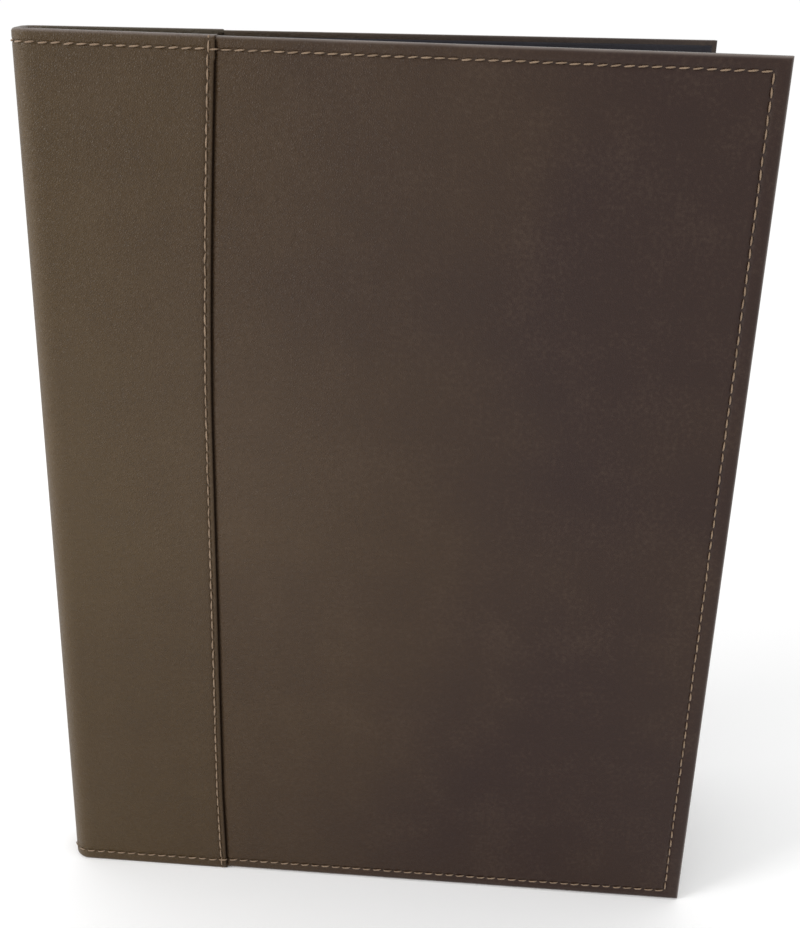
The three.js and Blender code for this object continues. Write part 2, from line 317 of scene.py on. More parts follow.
def lean(x, z):
    """Moves points near the seam sideways as it leans, and draws those within 5 mm of it closer."""
    x = x + (seam_at(z) - SEAM) * smooth((SEAM + 40 * MM - x) / (30 * MM))
    away = x - seam_at(z) - 0.5 * MM
    return x - 0.7 * away * (1 - np.minimum(np.abs(away) / (5 * MM), 1))


def panel_ring(top, edge, bottom):
    """Places (x, z) at these distances from the three edges: along the top, down and back."""
    x = np.linspace(PANEL_START, WIDTH - EDGE_ROW, CORNER + 1)
    x += (EDGE_ROW - edge) * np.clip((x - WIDTH + EDGE_ROW + MITRE) / MITRE, 0, 1)
    z = np.linspace(EDGE_TOP, BOTTOM_ROW, FINE * EDGE_STITCHES + 1)
    z += (HEIGHT - top - EDGE_TOP) * np.clip((z - EDGE_TOP + MITRE) / MITRE, 0, 1)
    z -= (BOTTOM_ROW - bottom) * np.clip((BOTTOM_ROW + MITRE - z) / MITRE, 0, 1)
    drift = (TOP_ROW[1] - top_row(x)) * min(1.0, top / TOP_ROW[1])
    ring_x = np.concatenate([x, np.full(len(z) - 2, WIDTH - edge), x[::-1]])
    ring_z = np.concatenate([HEIGHT - top + drift, z[1:-1], np.full(len(x), bottom)])
    return ring_x, ring_z


def panel_ticks():
    """Which points of the top leg start a column: all of them beside the seam, then one to a stitch."""
    fine = FINE * SEAM_COLUMNS
    return [*range(fine), *range(fine, CORNER + 1, FINE)]


def panel_middle(first_inner):
    """Faces of the panel's coarse middle. The outermost ones take in the fine points of ring 0."""
    ticks = panel_ticks()
    across, down = len(ticks) - 1, EDGE_STITCHES

    def index(i, j):
        if j == 0:
            return ticks[i]
        if j == down:
            return CORNER + LOWER_CORNER - ticks[i]
        if i == across:
            return CORNER + FINE * j
        return first_inner + (j - 1) * across + i

    faces = []
    for i in range(across):
        for j in range(down):
            loop = [index(i, j + 1)]
            if j == down - 1:
                loop += range(index(i, down) - 1, index(i + 1, down), -1)
            loop.append(index(i + 1, j + 1))
            if i == across - 1:
                loop += range(CORNER + FINE * (j + 1) - 1, CORNER + FINE * j, -1)
            loop.append(index(i + 1, j))
            if j == 0:
                loop += range(ticks[i + 1] - 1, ticks[i], -1)
            loop.append(index(i, j))
            faces.append(tuple(loop))
    return faces


def leather_panel(side, material):
    """The main leather of one cover: rings of points round three edges carry the stitch row, the rim and
    the turned-in border, and a coarse grid fills the middle."""
    far = 1.0                       # metres from the stitch row: no relief
    rings = [(*panel_ring(TOP_ROW[1] + d, EDGE_ROW + d, BOTTOM_ROW + d), 0.0, abs(d)) for d in ROW_SIDES]
    rings.append((*panel_ring(MARGIN, MARGIN + 0.4 * MM, MARGIN), 0.0, far))
    for inset, depth in zip(*rim_profile(BORDER_DEPTH - STRIP_PROUD)):
        rings.append((*panel_ring(inset + PANEL_INSET, inset, inset + PANEL_INSET), depth, far))
    ring_x, ring_z = rings[0][:2]
    rows = ring_z[CORNER:LOWER_CORNER:FINE][1:]
    inner = [part.ravel() for part in np.meshgrid(ring_x[panel_ticks()[:-1]], rows)]
    parts = [np.stack(np.broadcast_arrays(*ring)) for ring in [*rings, (*inner, 0.0, far)]]
    x, z, depth, away = np.concatenate(parts, axis=1)
    x = lean(x, z)
    count = len(ring_x)
    number = np.resize(np.arange(count), len(x))
    on_leg = (number <= CORNER) | (number >= LOWER_CORNER)
    along = np.where(on_leg, (x + TO_PATH) / ROW_PITCH, number / FINE)
    # pressed down beside the strip's edge, with painted shadow there, and undulating away from it and from
    # the rims
    outer, from_seam = depth == 0, x - seam_at(z)
    pressed = 0.55 * MM * smooth((1.3 * MM - from_seam) / (1.2 * MM)) * outer
    seam_groove_shadow = 0.9 * MM * smooth((0.8 * MM - from_seam) / (0.7 * MM)) * outer
    calm = smooth(np.minimum(WIDTH - x, from_ends(z)) / RIPPLE_FADE) * outer
    calm *= smooth((from_seam - 3 * MM) / (20 * MM))
    seed = 7.4 + 4.3 * side
    wave = (ripple(x, z, seed, 60 * MM, 0.3 * MM) + ripple(x, z, seed, 17 * MM, 0.06 * MM)) * calm
    points = triples(x, STRIP_PROUD + depth + relief(along, away) + pressed + wave, z)
    # the cut's depth carries the painted shadow beside the strip's edge
    cut = triples(side * (x + TO_PATH), depth - seam_groove_shadow, z)
    faces = grid_faces(len(rings), count) + panel_middle(count * len(rings))
    name = COVER_NAME[side]
    placed = cover_matrix(side)
    piece = make_object(f"{name}_panel_leather", points, faces, material, placed, side == BACK, cut)
    thicken(piece, LEATHER)
    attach(piece, COVER_BODY[side])
    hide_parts(f"{name}_panel")


# The spine strip

NEAR_EDGE = np.array([4.2, 3.4, 2.8, 2.4, 2.1, 1.8, 1.5, 1.2, 0.8, 0.45, 0.2, 0.08, 0.03, 0.0]) * MM
TUCK = np.array([0, 0, 0, 0, 0, 0, 0, 0, 0.03, 0.13, 0.31, 0.51, 0.75, 1.0])


def turned_edge(z):
    """The strip's turned edge is double, so it stands a little higher, except on the rims."""
    return 0.35 * MM * smooth(from_ends(z) / (12 * MM))


def strip_rows():
    """The strip's rows of points, from the border inside the bottom edge to the one inside the top. Each
    is (kind, place): a step of the rim's profile, or a height from the bottom or from the top row."""
    steps = len(rim_profile(BORDER_DEPTH)[0])
    middle = np.arange(BOTTOM_ROW + ROW_SIDES[0], HEIGHT - TOP_ROW[1] - ROW_SIDES[0], PITCH / FINE)
    rows = [("bottom rim", step) for step in reversed(range(steps))]
    rows += [("face", MARGIN)] + [("face", BOTTOM_ROW + d) for d in reversed(ROW_SIDES[:-1])]
    rows += [("face", z) for z in middle[1:]]
    rows += [("top row", d) for d in ROW_SIDES[:-1]] + [("top row", MARGIN - TOP_ROW[0])]
    return rows + [("top rim", step) for step in range(steps)]


def leather_strip(side, material):
    """Half of the spine strip: from the middle of the spine round the fold to its edge on the cover."""
    length = SEAM + TO_PATH
    base = np.arange(0, length - NEAR_EDGE[0] - 0.4 * MM, ROW_PITCH / FINE)
    tuck = np.concatenate([np.zeros(len(base)), TUCK * (STRIP_PROUD + 0.1 * MM)])
    rows = strip_rows()
    seed = 21.3 + 5.3 * side
    points, cut = [], []
    for kind, place in rows:
        height = {"face": place, "bottom rim": 0.0}.get(kind, HEIGHT)
        stretch = seam_at(height) - SEAM
        s = np.concatenate([
            base + stretch * smooth((base - 30 * MM) / (length - 30 * MM)),
            length + stretch - NEAR_EDGE,
        ])
        x, y, in_x, in_y = strip_path(s)
        if kind.endswith("rim"):
            inset, depth = np.array([np.array(rim_profile(t))[:, place] for t in border_depth(s)]).T
            z = inset if kind == "bottom rim" else HEIGHT - inset
            into = np.maximum(depth, tuck)
        else:
            row = top_row(x)
            z = np.full(len(s), place) if kind == "face" else HEIGHT - row - place
            depth = np.zeros(len(s))
            ends = relief(s / ROW_PITCH, HEIGHT - row - z) + relief(s / ROW_PITCH, z - BOTTOM_ROW)
            seam = relief((z - SEAM_END) / SEAM_PITCH, seam_distance(s, z) - SEAM_ROW)
            calm = smooth((s - FLAT_START) / (12 * MM)) * smooth((length - s) / (12 * MM))
            calm *= smooth(from_ends(z) / RIPPLE_FADE)
            wave = ripple(x, z, seed, 45 * MM, 0.25 * MM) + ripple(x, z, seed, 14 * MM, 0.07 * MM)
            raised = turned_edge(z) * smooth((14 * MM - seam_distance(s, z)) / (10 * MM))
            into = np.maximum(ends, seam) + wave * calm + tuck - raised
        points.append(triples(x + in_x * into, y + in_y * into, z))
        # the tucked edge's negative depth carries a painted shadow along the strip's edge
        cut.append(triples(side * s, depth - 1.5 * tuck, z))
    name = COVER_NAME[side]
    points, cut = bent(np.concatenate(points), side), np.concatenate(cut)
    faces = grid_faces(len(rows), len(tuck))
    piece = make_object(f"{name}_strip_leather", points, faces, material, flip=side == BACK, cut=cut)
    thicken(piece, STRIP_LEATHER)
    cross_fold(piece, side)
    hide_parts(f"{name}_strip", "spine_leather")


# The lining

def lining(side, material):
    """Half of the lining: from the spine's middle through the gutter and over the cover's inside."""
    rolled = np.array([0.0, 0.12, 0.35, 0.8]) * MM
    low, high = LINING_LOW[2], LINING_HIGH[2]
    length = LINING_HIGH[0] + TO_PATH
    near_rows = 0.7 * MM * np.arange(-2, 3)
    s = np.concatenate([
        np.arange(0, FLAT_START + 12 * MM, 0.7 * MM),
        np.arange(FLAT_START + 13 * MM, ROW_LENGTH - 3 * MM, 4 * MM),
        ROW_LENGTH + near_rows, length - rolled[::-1],
    ])
    x, y, in_x, in_y = strip_path(s)
    heights = [low + d for d in rolled] + [BOTTOM_ROW + d + 0.3 * MM for d in near_rows[1:]]
    heights += list(np.linspace(10 * MM, HEIGHT - 10 * MM, 80))
    rows = [np.full(len(s), z) for z in heights]
    rows += [HEIGHT - top_row(x) + d for d in near_rows]
    rows += [np.full(len(s), high - d) for d in rolled[::-1]]
    z = np.array(rows)
    from_edge = np.minimum(np.minimum(z - low, high - z), length - s)
    row_away = np.minimum(np.abs(z - BOTTOM_ROW), np.abs(HEIGHT - top_row(x) - z))
    row_away = np.minimum(row_away, np.abs(s - ROW_LENGTH))
    sunk = 0.4 * MM * (1 - smooth(from_edge / (0.5 * MM)))
    sunk += 0.16 * MM * np.exp(-((row_away / (0.8 * MM)) ** 2))
    calm = smooth(from_edge / (20 * MM))
    sunk += ripple(x + 0 * z, z, 3.7 * side, 30 * MM, 0.15 * MM) * calm * smooth(s / (8 * MM))
    into = border_depth(s) + LINING_STEP - sunk
    points = bent(triples(x + in_x * into, y + in_y * into, z), side)
    cut = triples(side * s, 0.0, z)
    name = COVER_NAME[side]
    faces = grid_faces(*z.shape)
    piece = make_object(f"{name}_cover_lining", points, faces, material, flip=side == FRONT, cut=cut)
    thicken(piece, LINING)
    cross_fold(piece, side)
    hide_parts(f"{name}_lining", "spine_lining")


# Pockets

class Pocket:
    """A flat pocket sewn down along its sides, from x start to end, and its bottom. mouth(x) is the height
    of its open edge, ground(x, z) the depth of what it is sewn to, and lift how far it stands off."""

    def __init__(self, start, end, bottom, mouth, ground, lift, seed):
        self.start, self.end, self.bottom = start, end, bottom
        self.mouth, self.ground = mouth, ground
        self.lift, self.seed = lift, seed

    def face(self, x, z):
        """Depth of the pocket's face."""
        sewn = np.minimum(np.minimum(x - self.start, self.end - x), z - self.bottom)
        below = self.mouth(x) - z
        full = smooth((sewn - 2 * POCKET_ROW) / (9 * MM))
        loose = self.lift * full * (0.75 + 0.25 * smooth(1 - below / (60 * MM)))
        hem = 0.25 * MM * smooth((HEM - below) / (0.6 * MM))
        groove = 0.14 * MM * np.exp(-(((sewn - POCKET_ROW) / (0.8 * MM)) ** 2))
        groove += 0.14 * MM * np.exp(-(((below - HEM / 2) / (0.8 * MM)) ** 2))
        edge = np.minimum(sewn, below)
        rounded = 0.3 * MM * (1 - smooth(edge / (0.5 * MM)))
        wave = ripple(x, z, self.seed, 35 * MM, 0.25 * MM) * full
        return self.ground(x, z) + POCKET_SKIN + loose + hem + wave - groove - rounded

    def covers(self, x, z):
        return self.start < x < self.end and self.bottom < z < self.mouth(x)


EDGE_STEPS = np.array([0, 0.15, 0.35, 0.6, 1.1, 1.6, 1.9, 2.2, 2.8, 3.8, 5.5, 8.5]) * MM
MOUTH_STEPS = np.array([0, 0.15, 0.35, 0.6, 1.5, 3.0, 3.6, 4.0, 4.4, 5.2, 7.2, 7.8, 8.4, 9.5]) * MM


def pocket_piece(name, pocket, side, material, node):
    """The pocket's leather."""
    edge, top = EDGE_STEPS[-1], MOUTH_STEPS[-1]
    middle = np.arange(pocket.start + edge, pocket.end - edge, 1.8 * MM)
    x = np.concatenate([pocket.start + EDGE_STEPS, middle[1:-1], pocket.end - EDGE_STEPS[::-1]])
    mouth = pocket.mouth(x)
    clear = mouth - top - pocket.bottom - edge
    share = np.linspace(0, 1, max(3, round(np.max(clear) / (3 * MM))))[1:-1]
    rows = [np.full(len(x), pocket.bottom + d) for d in EDGE_STEPS]
    rows += [pocket.bottom + edge + t * clear for t in share]
    rows += [mouth - d for d in MOUTH_STEPS[::-1]]
    z = np.array(rows)
    x = x + 0 * z
    points = triples(x, pocket.face(x, z), z)
    piece = make_object(name, points, grid_faces(*z.shape), material, cover_matrix(side), side == FRONT)
    thicken(piece, 0.9 * POCKET_SKIN)
    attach(piece, COVER_BODY[side])
    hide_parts(node)


def lining_face(x, z):
    return COVER + 0 * x


POCKET_START, POCKET_END = 16 * MM, LINING_HIGH[0] - 0.2 * MM
LARGE_POCKET = (POCKET_START, POCKET_END, LINING_LOW[2] + 0.2 * MM)
DOCUMENT_LOW, DOCUMENT_HIGH = cover_box("document_pocket")
MOUTH_LOW = min(v.co.z for v in frame["nodes"]["document_pocket"].data.vertices if v.co.z > HEIGHT / 2)


def document_mouth(x):
    """The mouth slants down towards the free edge."""
    share = (x - DOCUMENT_LOW[0]) / (DOCUMENT_HIGH[0] - DOCUMENT_LOW[0])
    return DOCUMENT_HIGH[2] + (MOUTH_LOW - DOCUMENT_HIGH[2]) * share


DOCUMENT = Pocket(*LARGE_POCKET, document_mouth, lining_face, 0.45 * MM, 2.1)
PAD_MOUTH = cover_box("pad_pocket", BACK)[1][2]


def pad_mouth(x):
    return PAD_MOUTH + 0 * x


PAD_HOLDER = Pocket(*LARGE_POCKET, pad_mouth, lining_face, 1.15 * MM, 5.2)


def card_pocket(number):
    """A card pocket on the document pocket, with a thumb notch in its mouth."""
    low, high = cover_box(f"card_pocket_{number}")
    centre = (low[0] + high[0]) / 2

    def mouth(x):
        return high[2] - 5.5 * MM * smooth(1 - np.abs(x - centre) / (15 * MM))

    return Pocket(low[0], high[0], low[2], mouth, DOCUMENT.face, 0.25 * MM, 8.0 + number)


CARDS = [card_pocket(1), card_pocket(2)]
COVER_POCKET = {FRONT: DOCUMENT, BACK: PAD_HOLDER}


def inner_face(side, x, z):
    """Depth of what shows on the inside of a cover."""
    pocket = COVER_POCKET[side]
    return float(pocket.face(x, z)) if pocket.covers(x, z) else COVER


# Stitches

def one_stitch():
    """A stitch along +X with its outward side +Z: a short twisted thread that dips at both ends."""
    around, steps = 8, 9
    t = np.linspace(-1, 1, steps)[:, None]
    angle = np.linspace(0, 2 * np.pi, around, endpoint=False)[None, :]
    radius = STITCH_WIDTH / 2 * np.sqrt(np.clip(1 - np.abs(t) ** 6, 0.02, 1))
    radius = radius * (1 + 0.14 * np.cos(2 * angle + 5.2 * t))
    lift = STITCH_HEIGHT * (0.5 - 1.7 * np.abs(t) ** 3.4)
    points = triples(t * STITCH_LENGTH / 2, radius * np.cos(angle), lift + 0.8 * radius * np.sin(angle))
    return points.reshape(-1, 3), capped_tube(steps, around)


STITCH_POINTS, STITCH_FACES = one_stitch()


def sew(name, places, material, side):
    """One object of many stitches. A place is (point, along, outward, slant) in cover coordinates, and
    along's length scales the stitch."""
    rng = np.random.default_rng(len(places))
    points, faces, cut = [], [], []
    for number, (point, along, outward, slant) in enumerate(places):
        length = np.linalg.norm(along)
        along = along / length
        across = np.cross(outward, along)
        lie = slant + rng.normal(0, 0.03)
        turned = along * math.cos(lie) + across * math.sin(lie)
        scale = (length * (1 + rng.normal(0, 0.03)), 1 + rng.normal(0, 0.05), 1)
        local = STITCH_POINTS * scale
        turn = np.array([turned, np.cross(outward, turned), outward])
        points.append(point + local @ turn + across * rng.normal(0, 0.05 * MM))
        cut.append(STITCH_POINTS + (number * 7 * MM, 0, 0))
        faces += [tuple(number * len(STITCH_POINTS) + i for i in face) for face in STITCH_FACES]
    points, cut = bent(np.concatenate(points), side), np.concatenate(cut)
    piece = make_object(name, points, faces, material, flip=side == BACK, cut=cut)
    return piece


OUT = np.array([0.0, -1.0, 0.0])
IN = -OUT


def outer_face(s, z):
    """Depth under a stitch outside: one that crosses the strip's edge lies over the step."""
    return STRIP_PROUD * float(smooth((1.6 * MM - seam_distance(s, z)) / (2.6 * MM)))


def edge_places(side, inside):
    """Stitches along the top from the spine's middle, down the free edge and back along the bottom."""
    places = []
    for number in range(ROW_STITCHES):
        s = (number + 0.5) * ROW_PITCH
        x, y, in_x, in_y = (float(value) for value in strip_path(s))
        way_in, forward = np.array([in_x, in_y, 0.0]), np.array([in_y, -in_x, 0.0])
        for z, direction in ((HEIGHT - float(top_row(x)), 1), (BOTTOM_ROW, -1)):
            if inside:
                on_cover = s > FLAT_START
                depth = float(border_depth(s)) + LINING_STEP
                if on_cover and x > POCKET_START:
                    depth = inner_face(side, x, z)
                squeeze = 1.0 if on_cover or s < SPINE_FLAT else 1 - depth / FOLD_RADIUS
                depth -= PULLED_IN
                along, outward = forward * direction * squeeze, way_in
            else:
                depth = outer_face(s, z)
                along, outward = forward * direction, -way_in
            places.append((np.array([x, y, z]) + way_in * depth, along, outward, STITCH_SLANT))
    x = WIDTH - EDGE_ROW
    for number in range(EDGE_STITCHES):
        z = EDGE_TOP - (number + 0.5) * EDGE_PITCH
        depth = inner_face(side, x, z) - PULLED_IN if inside else STRIP_PROUD
        places.append((np.array([x, depth, z]), np.array([0, 0, -1.0]), IN if inside else OUT, 0.0))
    return places


def seam_places():
    """The row beside the strip's edge, with a short stitch over the rim at each end."""
    places = []
    for number in range(SEAM_STITCHES):
        z = SEAM_END + (number + 0.5) * SEAM_PITCH
        tilt = (seam_at(z + PITCH / 2) - seam_at(z - PITCH / 2)) / PITCH
        along = SEAM_STRETCH * np.array([tilt, 0.0, 1.0]) / math.hypot(1, tilt)
        point = np.array([seam_at(z) - SEAM_ROW, -turned_edge(z), z])
        places.append((point, along, OUT, 0.0))
    half_way = RIM_OUTER * (1 - math.sqrt(0.5))
    for z, way in ((HEIGHT - half_way, 1), (half_way, -1)):
        along, outward = np.array([(0, 1, way), (0, -1, way)]) * math.sqrt(0.5)
        point = np.array([seam_at(z) - SEAM_ROW, half_way, z]) - RIM_SUNK * outward
        places.append((point, RIM_STITCH * along, outward, 0.0))
    return places


def pocket_places(pocket, corners):
    """Stitches on a pocket, along a line through these corners (x, z)."""
    places = []
    for start, end in zip(corners[:-1], corners[1:]):
        start, end = np.array(start), np.array(end)
        count = round(np.linalg.norm(end - start) / PITCH)
        step = (end - start) / count
        for number in range(count):
            x, z = start + (number + 0.5) * step
            low, high = (pocket.face(*(np.array([x, z]) + shift * step)) for shift in (-0.3, 0.3))
            along = np.array([step[0], (high - low) / 0.6, step[1]])
            along = along / np.linalg.norm(along)
            places.append((np.array([x, (low + high) / 2, z]), along, IN, STITCH_SLANT))
    return places


def hem_line(pocket):
    """Corners of the line of the hem's stitches, half a hem below the mouth."""
    inset = 4.5 * MM
    x = np.linspace(pocket.start + inset, pocket.end - inset, 13)
    return [(a, float(pocket.mouth(a)) - HEM / 2) for a in x]


def cover_stitches(side, material):
    name = COVER_NAME[side]
    edge = sew(f"{name}_edge_stitches", edge_places(side, inside=False), material, side)
    cross_fold(edge, side)
    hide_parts(f"{name}_edge_thread", "spine_thread_top", "spine_thread_bottom")
    seam = sew(f"{name}_seam_stitches", seam_places(), material, side)
    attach(seam, COVER_BODY[side])
    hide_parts(f"{name}_seam_thread")
    inner = sew(f"{name}_inner_stitches", edge_places(side, inside=True), material, side)
    cross_fold(inner, side)


def sewn_pocket(name, pocket, side, leather_skin, thread, number=""):
    """A pocket's leather and its stitches: round three sides of a card pocket; down the spine side and
    along the mouth of a large one, which the cover's own rows hold on its other sides."""
    pocket_piece(f"{name}_leather{number}", pocket, side, leather_skin, name + number)
    left, right = pocket.start + POCKET_ROW, pocket.end - POCKET_ROW
    bottom = pocket.bottom + POCKET_ROW
    line = [(left, float(pocket.mouth(left)) - 0.5 * MM), (left, bottom)]
    if number:
        line += [(right, bottom), (right, float(pocket.mouth(right)) - 0.5 * MM)]
    places = pocket_places(pocket, line)
    if not number:
        places += pocket_places(pocket, hem_line(pocket))
    piece = sew(f"{name}_stitches{number}", places, thread, side)
    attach(piece, COVER_BODY[side])
    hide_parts(f"{name}_thread{number}")


# The pen loop

def pen_loop(material):
    """A ribbed elastic band sewn into a soft round loop on the spine's lining."""
    low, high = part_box("pen_loop")
    centre, half = (low + high) / 2, (high - low) / 2
    wall, rib, around = 0.9 * MM, 1.5 * MM, 56
    rows = np.arange(low.z, high.z + 1e-6, rib / 6)
    from_end = np.minimum(rows - low.z, high.z - rows)
    swell = 0.05 * MM * np.cos(2 * np.pi * (rows - low.z) / rib)
    swell = swell - 0.25 * MM * (1 - smooth(from_end / (0.6 * MM)))
    angle = np.linspace(0, 2 * np.pi, around, endpoint=False)
    sharp = 2 / 2.9                 # a superellipse, rounder than a box
    out_x, out_y = (np.sign(t) * np.abs(t) ** sharp for t in (np.cos(angle), np.sin(angle)))
    grow_x, grow_y = half.x - 0.1 * MM + swell, half.y - 0.1 * MM + swell
    rows = rows[:, None]
    points = triples(centre.x + np.outer(grow_x, out_x), centre.y + np.outer(grow_y, out_y), rows)
    cut = triples(angle * half.y, 0.0, rows)
    faces = grid_faces(len(rows), around, closed=True)
    piece = make_object("pen_loop_band", points, faces, material, cut=cut)
    thicken(piece, wall)
    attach(piece, "spine")
    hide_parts("pen_loop")


# The writing pad

PAPER_LOW, PAPER_HIGH = cover_box("paper_block", BACK)
BACKING_LOW, BACKING_HIGH = cover_box("pad_backing", BACK)
TAPE_LOW, TAPE_HIGH = cover_box("pad_tape", BACK)
SHEETS = PAPER_HIGH[1] - PAPER_LOW[1]
HEADER, RULING = 52 * MM, 7.14 * MM


def pad_base(z):
    """Depth of the back of the sheets: over the pocket at the bottom, on the backing at the top."""
    bound = BACKING_HIGH[1] + 0.1 * MM
    return PAPER_LOW[1] + (bound - PAPER_LOW[1]) * smooth((z - PAD_MOUTH - 6 * MM) / (60 * MM))


def paper_block(material):
    """The sheets: a pile whose edges show thin layers, bent over the pocket it rests on."""
    rng = np.random.default_rng(4)
    layers = 26
    z = np.linspace(PAPER_LOW[2], PAPER_HIGH[2], 41)
    depths = np.repeat(np.linspace(0, SHEETS, layers + 1), 2)[1:-1]
    shifts = np.repeat(rng.uniform(0, 0.16 * MM, layers), 2)
    rings = []
    for depth, shift in zip(depths, shifts):
        height = np.clip(z, z[0] + shift, z[-1])
        left = triples(PAPER_LOW[0] + shift, pad_base(z) + depth, height)
        right = left + (PAPER_HIGH[0] - PAPER_LOW[0] - 2 * shift, 0, 0)
        rings.append(np.concatenate([left, right[::-1]]))
    around = 2 * len(z)
    faces = grid_faces(len(rings), around, closed=True)
    last = (len(rings) - 1) * around
    for step in range(len(z) - 1):
        quad = (step, step + 1, around - 2 - step, around - 1 - step)
        faces.append(tuple(reversed(quad)))
        faces.append(tuple(last + i for i in quad))
    points = np.concatenate(rings)
    piece = make_object("writing_paper", points, faces, material, cover_matrix(BACK), True)
    piece.data.polygons.foreach_set("use_smooth", np.zeros(len(piece.data.polygons), bool))
    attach(piece, "writing_pad")
    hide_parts("paper_block")


def backing_board(material):
    """The pad's stiff back, with rounded lower corners."""
    low, high = BACKING_LOW + (0.6 * MM, 0.2 * MM, 0), BACKING_HIGH - (1.6 * MM, 0, 0)
    corner = 3 * MM
    turn = np.linspace(0, math.pi / 2, 7)
    right = [(high[0] - corner + corner * np.sin(a), low[2] + corner - corner * np.cos(a)) for a in turn]
    left = [(low[0] + corner - corner * np.cos(a), low[2] + corner - corner * np.sin(a)) for a in turn]
    outline = np.array(right + [(high[0], high[2]), (low[0], high[2])] + left)
    bevel = 0.12 * MM
    drawn_in = np.sign(outline - (low + high)[[0, 2]] / 2) * bevel
    rings = []
    for depth, share in ((low[1], 1), (low[1] + bevel, 0), (high[1] - bevel, 0), (high[1], 1)):
        x, z = (outline - share * drawn_in).T
        rings.append(triples(x, depth, z))
    faces = capped_tube(len(rings), len(outline))
    piece = make_object("pad_back_board", np.concatenate(rings), faces, material, cover_matrix(BACK))
    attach(piece, "writing_pad")
    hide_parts("pad_backing")


def binding_tape(material):
    """Cloth tape over the pad's top: down the front sheets and down the backing."""
    skin, bend = 0.25 * MM, 0.9 * MM
    top = TAPE_HIGH[2] - 0.1 * MM
    turn = np.linspace(0, math.pi / 2, 6)
    front_z = np.linspace(TAPE_LOW[2], top - bend, 8)
    front = pad_base(front_z) + SHEETS + skin
    front[0] -= 0.6 * skin
    crown, back = front[-1], BACKING_LOW[1] - skin
    profile = list(zip(front, front_z))
    profile += [(crown - bend * (1 - math.cos(a)), top - bend * (1 - math.sin(a))) for a in turn[1:]]
    profile += [(back + bend * (1 - math.sin(a)), top - bend * (1 - math.cos(a))) for a in turn]
    profile += [(back, TAPE_LOW[2])]
    x = np.linspace(TAPE_LOW[0] - 0.05 * MM, TAPE_HIGH[0] + 0.05 * MM, 60)
    depth, z = (np.array(part) for part in zip(*profile))
    reach = np.concatenate([[0], np.cumsum(np.hypot(np.diff(depth), np.diff(z)))])
    points = triples(x, depth[:, None], z[:, None])
    cut = triples(x, 0.0, reach[:, None])
    faces = grid_faces(len(z), len(x))
    piece = make_object("pad_binding_tape", points, faces, material, cover_matrix(BACK), cut=cut)
    thicken(piece, skin)
    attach(piece, "writing_pad")
    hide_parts("pad_tape")


# Materials

class Shader:
    """A material with one Principled shader, and short ways to add its nodes."""

    def __init__(self, name):
        self.material = bpy.data.materials.new(name)
        self.material.use_nodes = True
        self.nodes = self.material.node_tree.nodes
        self.links = self.material.node_tree.links
        self.nodes.clear()
        output = self.add("OutputMaterial")
        self.surface = self.add("BsdfPrincipled")
        self.links.new(self.surface.outputs["BSDF"], output.inputs["Surface"])
        self.place = self.add("Attribute", attribute_name="cut").outputs["Vector"]

    def put(self, socket, value):
        """Links a value into a socket, or sets it there."""
        if isinstance(value, bpy.types.NodeSocket):
            self.links.new(value, socket)
        elif socket.type == "RGBA":
            socket.default_value = (*value, 1)
        else:
            socket.default_value = value

    def add(self, kind, inputs=(), **settings):
        node = self.nodes.new("ShaderNode" + kind)
        for key, value in settings.items():
            setattr(node, key, value)
        for key, value in dict(inputs).items():
            self.put(node.inputs[key], value)
        return node

    def stretched(self, scale):
        """The place on the material, with a scale for each axis."""
        return self.add("Mapping", {"Vector": self.place, "Scale": scale}).outputs[0]

    def warped(self, scale, amount):
        """The place on the material, shifted about irregularly."""
        noisy = self.add("TexNoise", {"Vector": self.place, "Scale": scale})
        inputs = {0: noisy.outputs["Color"], "Scale": amount}
        shift = self.add("VectorMath", inputs, operation="SCALE").outputs[0]
        return self.add("VectorMath", {0: self.place, 1: shift}, operation="ADD").outputs[0]

    def noise(self, scale, detail=3.0, roughness=0.5, place=None):
        inputs = {"Vector": place or self.place, "Scale": scale, "Detail": detail, "Roughness": roughness}
        return self.add("TexNoise", inputs).outputs["Fac"]

    def cells(self, scale, place=None):
        """Distance from the borders of irregular cells."""
        inputs = {"Vector": place or self.place, "Scale": scale}
        return self.add("TexVoronoi", inputs, feature="DISTANCE_TO_EDGE").outputs["Distance"]

    def wave(self, scale, distortion, direction, **inputs):
        inputs = {"Vector": self.place, "Scale": scale, "Distortion": distortion, **inputs}
        return self.add("TexWave", inputs, bands_direction=direction).outputs["Fac"]

    def span(self, value, low, high, to_low=0.0, to_high=1.0, shape="LINEAR"):
        """A value's range mapped to another, without going past its ends."""
        inputs = {"Value": value, "From Min": low, "From Max": high, "To Min": to_low, "To Max": to_high}
        return self.add("MapRange", inputs, interpolation_type=shape).outputs[0]

    def maths(self, operation, a, b=0.0):
        return self.add("Math", {0: a, 1: b}, operation=operation).outputs[0]

    def plus(self, a, b):
        return self.maths("ADD", a, b)

    def times(self, a, b):
        return self.maths("MULTIPLY", a, b)

    def mix(self, share, a, b):
        """One colour turned into another, by a share."""
        return self.add("Mix", {"Factor": share, 6: a, 7: b}, data_type="RGBA").outputs[2]

    def axes(self):
        """The place's three parts."""
        return self.add("SeparateXYZ", {"Vector": self.place}).outputs

    def bump(self, height, distance, strength=1.0):
        inputs = {"Height": height, "Distance": distance, "Strength": strength}
        self.put(self.surface.inputs["Normal"], self.add("Bump", inputs).outputs[0])

    def finish(self, colour, roughness, specular):
        self.put(self.surface.inputs["Base Color"], colour)
        self.put(self.surface.inputs["Roughness"], roughness)
        self.put(self.surface.inputs["Specular IOR Level"], specular)
        return self.material


# Outer leather: by the spine (lighter partly as painted light), away from it, and paler for wear and
# painted sheen. Then what all of it shares.
PANEL_COLOURS = (0.056, 0.0315, 0.0095), (0.0205, 0.0075, 0.004), (0.115, 0.078, 0.05)
STRIP_COLOURS = (0.052, 0.0295, 0.0075), (0.028, 0.012, 0.005), (0.11, 0.076, 0.042)
